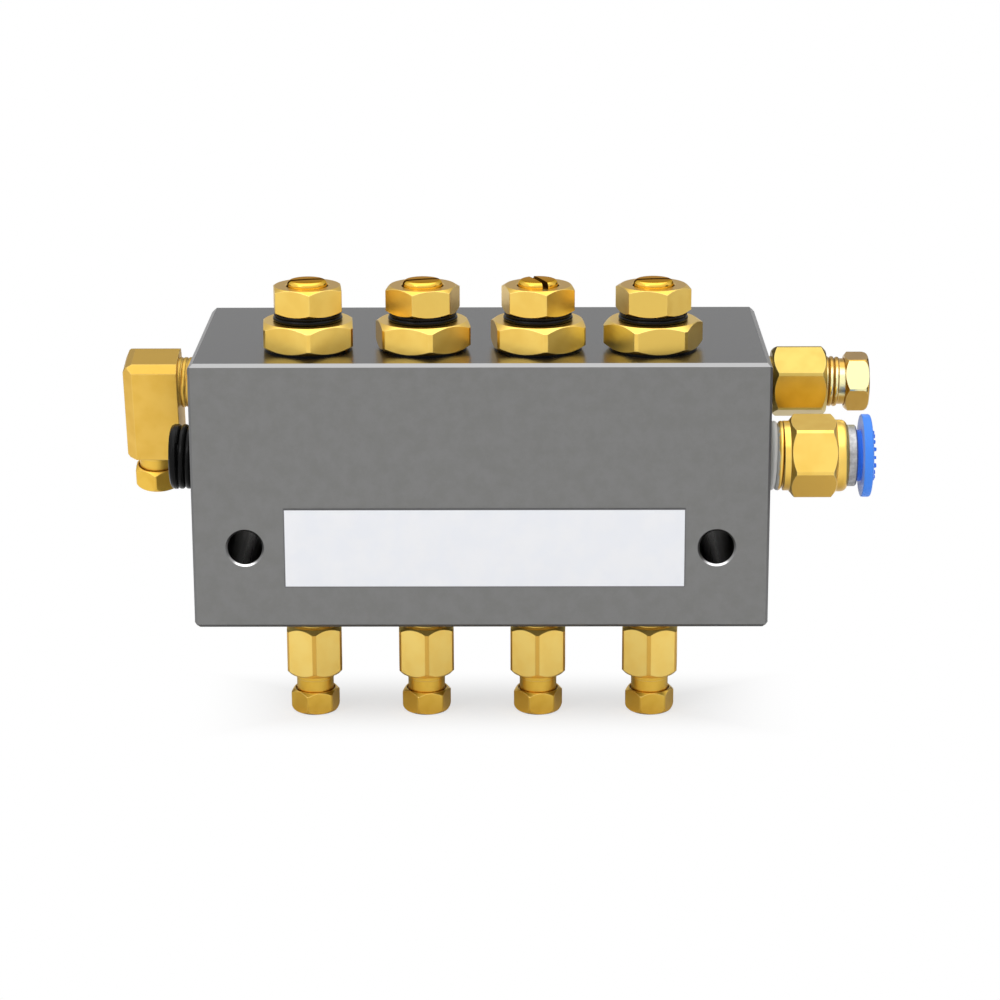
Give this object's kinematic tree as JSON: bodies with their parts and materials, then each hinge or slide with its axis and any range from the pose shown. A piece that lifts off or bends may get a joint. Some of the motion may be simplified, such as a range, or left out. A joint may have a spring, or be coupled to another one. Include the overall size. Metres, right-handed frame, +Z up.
{
  "type": "lubrication distributor",
  "caption": "Air-oil lubrication distributor: drilled metal block with needle metering valves on top, compression tube outlets below, and air and oil fittings on its ends.",
  "frame": {"origin": "on the flat back (mounting) face, midway between the two mounting holes", "axes": "+X along the block to the air inlet end, +Y out of the back face, +Z up towards the valves"},
  "size_m": [0.1473, 0.0503, 0.0873],
  "materials": {
    "block_metal": "satin ground, grey",
    "label": "plain white film",
    "brass": "machined, lightly brushed",
    "screw_brass": "turned, polished crown",
    "cast_brass": "satin bar stock",
    "black_rubber": "smooth moulded",
    "black_plug": "smooth black",
    "zinc": "die-cast zinc, dull",
    "claw_steel": "spring steel",
    "dark_steel": "black oxide",
    "blue_plastic": "moulded acetal"
  },
  "bodies": {
    "block": {"block": "block_metal", "blank_label": "label", "valve_washer_1": "black_rubber", "valve_washer_2": "black_rubber", "valve_washer_3": "black_rubber", "valve_washer_4": "black_rubber", "valve_body_1": "brass", "valve_body_2": "brass", "valve_body_3": "brass", "valve_body_4": "brass", "lock_seal_1": "black_rubber", "lock_seal_2": "black_rubber", "lock_seal_3": "black_rubber", "lock_seal_4": "black_rubber", "lock_nut_1": "brass", "lock_nut_2": "brass", "lock_nut_3": "brass", "lock_nut_4": "brass", "outlet_body_1": "brass", "outlet_body_2": "brass", "outlet_body_3": "brass", "outlet_body_4": "brass", "outlet_ferrule_1": "brass", "outlet_ferrule_2": "brass", "outlet_ferrule_3": "brass", "outlet_ferrule_4": "brass", "outlet_bushing_1": "brass", "outlet_bushing_2": "brass", "outlet_bushing_3": "brass", "outlet_bushing_4": "brass", "cross_plug_1": "dark_steel", "cross_plug_2": "dark_steel", "cross_plug_3": "dark_steel", "cross_plug_4": "dark_steel", "oil_inlet_body": "brass", "oil_inlet_ferrule": "brass", "oil_inlet_bushing": "brass", "elbow_body": "cast_brass", "elbow_ferrule": "brass", "elbow_bushing": "brass", "air_inlet_body": "brass", "air_inlet_seal": "black_rubber", "tube_claw": "claw_steel", "guide_ring": "zinc", "gallery_plug": "black_plug"},
    "seal_1": {"stem_seal_1": "black_rubber"},
    "needle_1": {"needle_screw_1": "screw_brass"},
    "seal_2": {"stem_seal_2": "black_rubber"},
    "needle_2": {"needle_screw_2": "screw_brass"},
    "seal_3": {"stem_seal_3": "black_rubber"},
    "needle_3": {"needle_screw_3": "screw_brass"},
    "seal_4": {"stem_seal_4": "black_rubber"},
    "needle_4": {"needle_screw_4": "screw_brass"},
    "collar": {"release_collar": "blue_plastic"}
  },
  "joints": [
    {"name": "valve_1_lift", "type": "slide", "parent": "block", "child": "seal_1", "axis": [0, 0, 1], "range_m": [-0.00075, 0.0015]},
    {"name": "valve_1_turn", "type": "hinge", "parent": "seal_1", "child": "needle_1", "pos_m": [-0.033, -0.0365, 0.036], "axis": [0, 0, 1], "range_deg": [-361, 721]},
    {"name": "valve_2_lift", "type": "slide", "parent": "block", "child": "seal_2", "axis": [0, 0, 1], "range_m": [-0.00075, 0.0015]},
    {"name": "valve_2_turn", "type": "hinge", "parent": "seal_2", "child": "needle_2", "pos_m": [-0.011, -0.0365, 0.036], "axis": [0, 0, 1], "range_deg": [-361, 721]},
    {"name": "valve_3_lift", "type": "slide", "parent": "block", "child": "seal_3", "axis": [0, 0, 1], "range_m": [-0.00075, 0.0015]},
    {"name": "valve_3_turn", "type": "hinge", "parent": "seal_3", "child": "needle_3", "pos_m": [0.011, -0.0365, 0.036], "axis": [0, 0, 1], "range_deg": [-361, 721]},
    {"name": "valve_4_lift", "type": "slide", "parent": "block", "child": "seal_4", "axis": [0, 0, 1], "range_m": [-0.00075, 0.0015]},
    {"name": "valve_4_turn", "type": "hinge", "parent": "seal_4", "child": "needle_4", "pos_m": [0.033, -0.0365, 0.036], "axis": [0, 0, 1], "range_deg": [-361, 721]},
    {"name": "collar_press", "type": "slide", "parent": "block", "child": "collar", "axis": [-1, 0, 0], "range_m": [0, 0.0009], "stiffness_N_per_m": 400, "springref_m": -0.0005}
  ],
  "couplings": [
    {"joint": "valve_1_turn", "follows": "valve_1_lift", "rad_per_m": 8377.6},
    {"joint": "valve_2_turn", "follows": "valve_2_lift", "rad_per_m": 8377.6},
    {"joint": "valve_3_turn", "follows": "valve_3_lift", "rad_per_m": 8377.6},
    {"joint": "valve_4_turn", "follows": "valve_4_lift", "rad_per_m": 8377.6}
  ]
}
